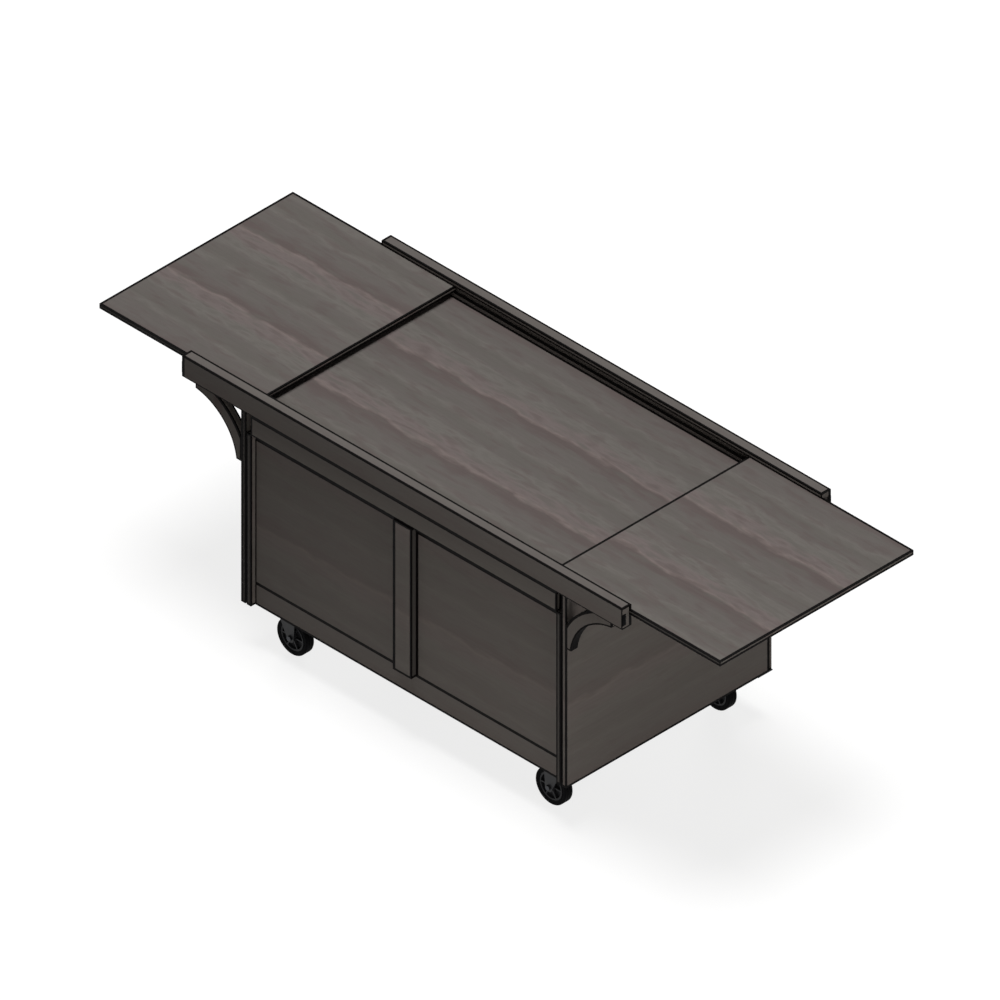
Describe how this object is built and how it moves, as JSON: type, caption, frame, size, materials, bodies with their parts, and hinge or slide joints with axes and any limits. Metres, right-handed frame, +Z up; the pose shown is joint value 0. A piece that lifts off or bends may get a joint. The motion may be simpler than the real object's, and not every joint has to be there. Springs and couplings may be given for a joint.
{
  "type": "induction cooking cart",
  "caption": "Laminate cooking cart on swivel casters: grooved top rails on arched brackets, a sunk deck, end leaves that slide in the rails, and a cabinet with recessed panels and doors.",
  "frame": {"origin": "on the floor under the middle of the cart, with the leaves pulled out", "axes": "+X along the length, +Y towards the side with the doors, +Z up"},
  "size_m": [2.582, 0.87, 0.929],
  "materials": {
    "leaf_laminate": "satin wood-grain laminate, grain along the cart",
    "deck_laminate": "satin wood-grain laminate, grain along the cart",
    "rail_laminate": "satin wood-grain laminate with dark edges",
    "front_laminate": "satin wood-grain laminate with dark edges",
    "end_laminate": "satin wood-grain laminate, grain across the cart",
    "door_laminate": "satin wood-grain laminate with dark edges",
    "carcass_laminate": "plain matt laminate",
    "bracket_wood": "satin stained wood",
    "caster_steel": "black powder coat",
    "bolt_steel": "blackened steel",
    "wheel_core": "moulded nylon",
    "wheel_tyre": "matt black rubber",
    "bush_brass": "plain brass",
    "unit_plastic": "moulded black plastic",
    "knob_plastic": "moulded black plastic"
  },
  "bodies": {
    "cabinet": {"deck": "deck_laminate", "front_rail": "rail_laminate", "back_rail": "rail_laminate", "front_apron": "front_laminate", "left_front_panel": "front_laminate", "right_front_panel": "front_laminate", "front_sill": "front_laminate", "centre_stile": "front_laminate", "left_gable": "front_laminate", "right_gable": "front_laminate", "left_end_panel": "end_laminate", "right_end_panel": "end_laminate", "back_apron": "door_laminate", "floor_panel": "carcass_laminate", "partition": "carcass_laminate", "left_shelf": "carcass_laminate", "right_shelf": "carcass_laminate", "end_spacers": "carcass_laminate", "deck_stops": "carcass_laminate", "front_left_bracket": "bracket_wood", "front_right_bracket": "bracket_wood", "back_left_bracket": "bracket_wood", "back_right_bracket": "bracket_wood", "caster_plates": "caster_steel", "caster_screws": "bolt_steel", "shelf_pins": "bolt_steel", "pivot_brackets": "bolt_steel", "left_induction_unit": "unit_plastic", "right_induction_unit": "unit_plastic", "control_boxes": "unit_plastic", "cable_gland": "unit_plastic"},
    "left_leaf": {"left_leaf": "leaf_laminate", "left_leaf_stops": "carcass_laminate"},
    "right_leaf": {"right_leaf": "leaf_laminate", "right_leaf_stops": "carcass_laminate"},
    "left_door": {"left_door": "door_laminate", "left_door_bushes": "bush_brass"},
    "right_door": {"right_door": "door_laminate", "right_door_bushes": "bush_brass"},
    "left_knob": {"left_knob": "knob_plastic"},
    "right_knob": {"right_knob": "knob_plastic"},
    "front_left_swivel": {"front_left_fork": "caster_steel", "front_left_axle": "bolt_steel"},
    "front_left_wheel": {"front_left_core": "wheel_core", "front_left_tyre": "wheel_tyre"},
    "front_right_swivel": {"front_right_fork": "caster_steel", "front_right_axle": "bolt_steel"},
    "front_right_wheel": {"front_right_core": "wheel_core", "front_right_tyre": "wheel_tyre"},
    "back_left_swivel": {"back_left_fork": "caster_steel", "back_left_axle": "bolt_steel"},
    "back_left_wheel": {"back_left_core": "wheel_core", "back_left_tyre": "wheel_tyre"},
    "back_right_swivel": {"back_right_fork": "caster_steel", "back_right_axle": "bolt_steel"},
    "back_right_wheel": {"back_right_core": "wheel_core", "back_right_tyre": "wheel_tyre"},
    "back_left_pedal": {"back_left_pedal": "caster_steel"},
    "back_right_pedal": {"back_right_pedal": "caster_steel"}
  },
  "joints": [
    {"name": "left_leaf_slide", "type": "slide", "parent": "cabinet", "child": "left_leaf", "axis": [1, 0, 0], "range_m": [0, 0.6105]},
    {"name": "right_leaf_slide", "type": "slide", "parent": "cabinet", "child": "right_leaf", "axis": [-1, 0, 0], "range_m": [0, 0.6105]},
    {"name": "left_door_hinge", "type": "hinge", "parent": "cabinet", "child": "left_door", "pos_m": [-0.667, 0.423, 0.47], "axis": [0, 0, 1], "range_deg": [0, 165]},
    {"name": "right_door_hinge", "type": "hinge", "parent": "cabinet", "child": "right_door", "pos_m": [0.667, 0.423, 0.47], "axis": [0, 0, -1], "range_deg": [0, 165]},
    {"name": "left_knob_turn", "type": "hinge", "parent": "cabinet", "child": "left_knob", "pos_m": [-0.322, 0.42, 0.815], "axis": [0, -1, 0], "range_deg": [0, 270]},
    {"name": "right_knob_turn", "type": "hinge", "parent": "cabinet", "child": "right_knob", "pos_m": [0.322, 0.42, 0.815], "axis": [0, -1, 0], "range_deg": [0, 270]},
    {"name": "front_left_swivel_turn", "type": "hinge", "parent": "cabinet", "child": "front_left_swivel", "pos_m": [-0.576, -0.3394, 0.15], "axis": [0, 0, 1], "continuous": true},
    {"name": "front_left_wheel_spin", "type": "hinge", "parent": "front_left_swivel", "child": "front_left_wheel", "pos_m": [-0.538, -0.3394, 0.0625], "axis": [0, 1, 0], "continuous": true},
    {"name": "front_right_swivel_turn", "type": "hinge", "parent": "cabinet", "child": "front_right_swivel", "pos_m": [0.576, -0.3394, 0.15], "axis": [0, 0, 1], "continuous": true},
    {"name": "front_right_wheel_spin", "type": "hinge", "parent": "front_right_swivel", "child": "front_right_wheel", "pos_m": [0.538, -0.3394, 0.0625], "axis": [0, 1, 0], "continuous": true},
    {"name": "back_left_swivel_turn", "type": "hinge", "parent": "cabinet", "child": "back_left_swivel", "pos_m": [-0.576, 0.3434, 0.15], "axis": [0, 0, 1], "continuous": true},
    {"name": "back_left_wheel_spin", "type": "hinge", "parent": "back_left_swivel", "child": "back_left_wheel", "pos_m": [-0.538, 0.3434, 0.0625], "axis": [0, 1, 0], "continuous": true},
    {"name": "back_right_swivel_turn", "type": "hinge", "parent": "cabinet", "child": "back_right_swivel", "pos_m": [0.576, 0.3434, 0.15], "axis": [0, 0, 1], "continuous": true},
    {"name": "back_right_wheel_spin", "type": "hinge", "parent": "back_right_swivel", "child": "back_right_wheel", "pos_m": [0.538, 0.3434, 0.0625], "axis": [0, 1, 0], "continuous": true},
    {"name": "back_left_pedal_press", "type": "hinge", "parent": "back_left_swivel", "child": "back_left_pedal", "pos_m": [-0.492, 0.3434, 0.133], "axis": [0, 1, 0], "range_deg": [0, 20]},
    {"name": "back_right_pedal_press", "type": "hinge", "parent": "back_right_swivel", "child": "back_right_pedal", "pos_m": [0.492, 0.3434, 0.133], "axis": [0, -1, 0], "range_deg": [0, 20]}
  ]
}
